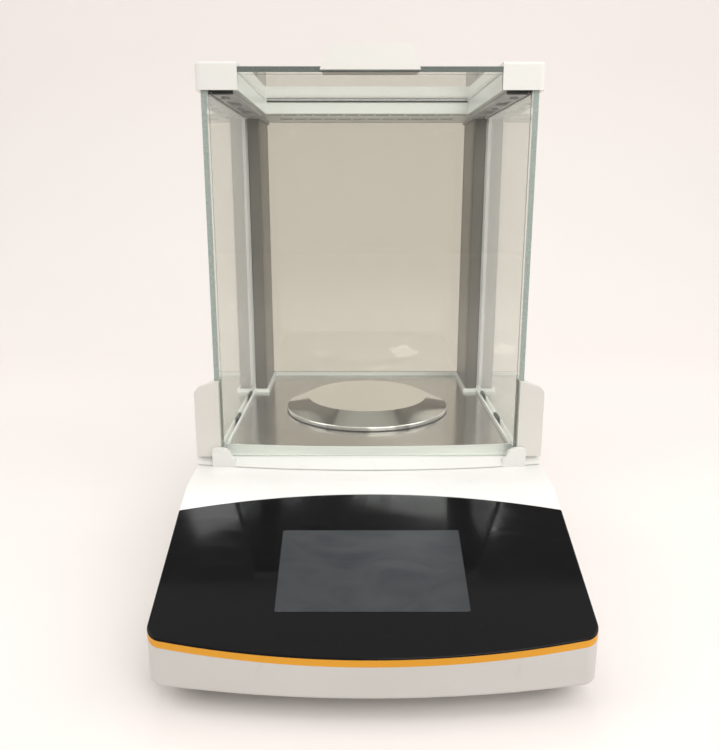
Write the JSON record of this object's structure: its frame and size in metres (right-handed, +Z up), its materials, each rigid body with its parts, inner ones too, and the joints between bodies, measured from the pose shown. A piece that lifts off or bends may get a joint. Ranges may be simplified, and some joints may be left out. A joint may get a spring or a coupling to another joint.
{
  "type": "analytical balance",
  "caption": "Laboratory analytical balance: sloping touch display on a white base, round steel pan, and a glass draft shield with sliding side and top doors.",
  "frame": {"origin": "on the table, under the centre of the footprint", "axes": "+X the balance's right as its user sees it, +Y its back, +Z up"},
  "size_m": [0.215, 0.36, 0.3193],
  "materials": {
    "housing": "fine satin moulded white",
    "base_tray": "satin off-white",
    "shield_plastic": "smooth white",
    "handle_plastic": "fine matt off-white",
    "display": "deep gloss black",
    "screen": "dark grey touch surface",
    "accent": "satin amber",
    "glass": "clear float glass with greenish edges",
    "floor_steel": "dark polished stainless",
    "pan_steel": "spun polished stainless",
    "post_metal": "dark satin anodised",
    "guide_plastic": "translucent grey moulded",
    "dark_plastic": "dark moulded",
    "connector_metal": "plated",
    "foot_rubber": "matt black",
    "screw_steel": "plated",
    "cell_metal": "machined",
    "magnet_metal": "ground",
    "brass": "turned",
    "copper_coil": "wound enamelled wire",
    "circuit": "green laminate",
    "ribbon": "grey flat cable",
    "plate_label": "blank satin plate"
  },
  "bodies": {
    "base": {"accent_stripe": "accent", "board_standoffs": "dark_plastic", "calibration_motor": "dark_plastic", "display_board": "circuit", "display_glass": "display", "display_ribbon": "ribbon", "door_guides": "guide_plastic", "floor_plate": "floor_steel", "front_feet": "foot_rubber", "front_glass": "glass", "glass_clips": "shield_plastic", "guide_arms": "cell_metal", "guide_screws": "screw_steel", "hanger_rivet": "screw_steel", "housing_screws": "screw_steel", "lever_pivot_pin": "screw_steel", "lock_switch_body": "dark_plastic", "lower_housing": "base_tray", "magnet_pot": "magnet_metal", "main_board": "circuit", "post_caps": "guide_plastic", "post_seals": "guide_plastic", "power_socket": "dark_plastic", "rating_plate": "plate_label", "rear_glass": "glass", "rear_posts": "post_metal", "serial_socket": "connector_metal", "shield_frame": "shield_plastic", "top_frame": "shield_plastic", "touch_screen": "screen", "upper_housing": "housing", "usb_socket": "connector_metal", "vent_strip": "guide_plastic", "weigh_cell_frame": "cell_metal"},
    "left_door": {"left_door_glass": "glass", "left_door_handle": "handle_plastic", "left_door_shoes": "dark_plastic"},
    "right_door": {"right_door_glass": "glass", "right_door_handle": "handle_plastic", "right_door_shoes": "dark_plastic"},
    "top_door": {"top_door_glass": "glass", "top_door_handle": "shield_plastic"},
    "pan": {"weighing_pan": "pan_steel"},
    "weigh_carrier": {"load_carrier": "cell_metal", "pan_support": "screw_steel", "lever_link": "screw_steel"},
    "weigh_lever": {"lever": "cell_metal", "lever_coil": "copper_coil"},
    "lift_screw": {"calibration_screw": "brass"},
    "lift_pinion": {"calibration_pinion": "brass"},
    "lift_cradle": {"calibration_cradle": "dark_plastic", "calibration_weight": "pan_steel"},
    "left_pad": {"left_foot_pad": "foot_rubber"},
    "left_wheel": {"left_foot_wheel": "dark_plastic", "left_foot_spindle": "screw_steel"},
    "right_pad": {"right_foot_pad": "foot_rubber"},
    "right_wheel": {"right_foot_wheel": "dark_plastic", "right_foot_spindle": "screw_steel"},
    "lock_knob": {"lock_switch_slide": "accent"},
    "hanger_flap": {"hanger_cover": "base_tray"}
  },
  "joints": [
    {"name": "left_door_slide", "type": "slide", "parent": "base", "child": "left_door", "axis": [0, 1, 0], "range_m": [0, 0.14]},
    {"name": "right_door_slide", "type": "slide", "parent": "base", "child": "right_door", "axis": [0, 1, 0], "range_m": [0, 0.14]},
    {"name": "top_door_slide", "type": "slide", "parent": "base", "child": "top_door", "axis": [0, 1, 0], "range_m": [0, 0.12]},
    {"name": "weighing_deflection", "type": "slide", "parent": "base", "child": "weigh_carrier", "axis": [0, 0, 1], "range_m": [-0.0003, 0.0003], "stiffness_N_per_m": 20000, "springref_m": 0.00011},
    {"name": "lever_tilt", "type": "hinge", "parent": "base", "child": "weigh_lever", "pos_m": [0, 0.098, 0.043], "axis": [1, 0, 0], "range_deg": [-1.6, 1.6]},
    {"name": "pan_lift", "type": "slide", "parent": "weigh_carrier", "child": "pan", "axis": [0, 0, 1], "range_m": [0, 0.03]},
    {"name": "cradle_lift", "type": "slide", "parent": "base", "child": "lift_cradle", "axis": [0, 0, -1], "range_m": [0, 0.004]},
    {"name": "lift_screw_turn", "type": "hinge", "parent": "base", "child": "lift_screw", "pos_m": [0.034, 0.04, 0.048], "axis": [0, 0, 1], "range_deg": [0, 1445]},
    {"name": "lift_pinion_turn", "type": "hinge", "parent": "base", "child": "lift_pinion", "pos_m": [0.054, 0.04, 0.048], "axis": [0, 0, 1], "range_deg": [-3345, 0]},
    {"name": "left_foot_height", "type": "slide", "parent": "base", "child": "left_pad", "axis": [0, 0, 1], "range_m": [-0.004, 0.0012]},
    {"name": "left_foot_turn", "type": "hinge", "parent": "left_pad", "child": "left_wheel", "pos_m": [-0.084, 0.148, 0.008], "axis": [0, 0, 1], "range_deg": [-1445, 435]},
    {"name": "right_foot_height", "type": "slide", "parent": "base", "child": "right_pad", "axis": [0, 0, 1], "range_m": [-0.004, 0.0012]},
    {"name": "right_foot_turn", "type": "hinge", "parent": "right_pad", "child": "right_wheel", "pos_m": [0.084, 0.148, 0.008], "axis": [0, 0, 1], "range_deg": [-1445, 435]},
    {"name": "menu_lock_slide", "type": "slide", "parent": "base", "child": "lock_knob", "axis": [1, 0, 0], "range_m": [0, 0.0044]},
    {"name": "hanger_cover_swing", "type": "hinge", "parent": "base", "child": "hanger_flap", "pos_m": [0, 0.0845, 0.0113], "axis": [0, 0, 1], "range_deg": [0, 110]}
  ],
  "couplings": [
    {"joint": "lever_tilt", "follows": "weighing_deflection", "rad_per_m": -84.746},
    {"joint": "lift_screw_turn", "follows": "cradle_lift", "rad_per_m": 6283.2},
    {"joint": "lift_pinion_turn", "follows": "cradle_lift", "rad_per_m": -14556},
    {"joint": "left_foot_turn", "follows": "left_foot_height", "rad_per_m": 6283.2},
    {"joint": "right_foot_turn", "follows": "right_foot_height", "rad_per_m": 6283.2}
  ]
}
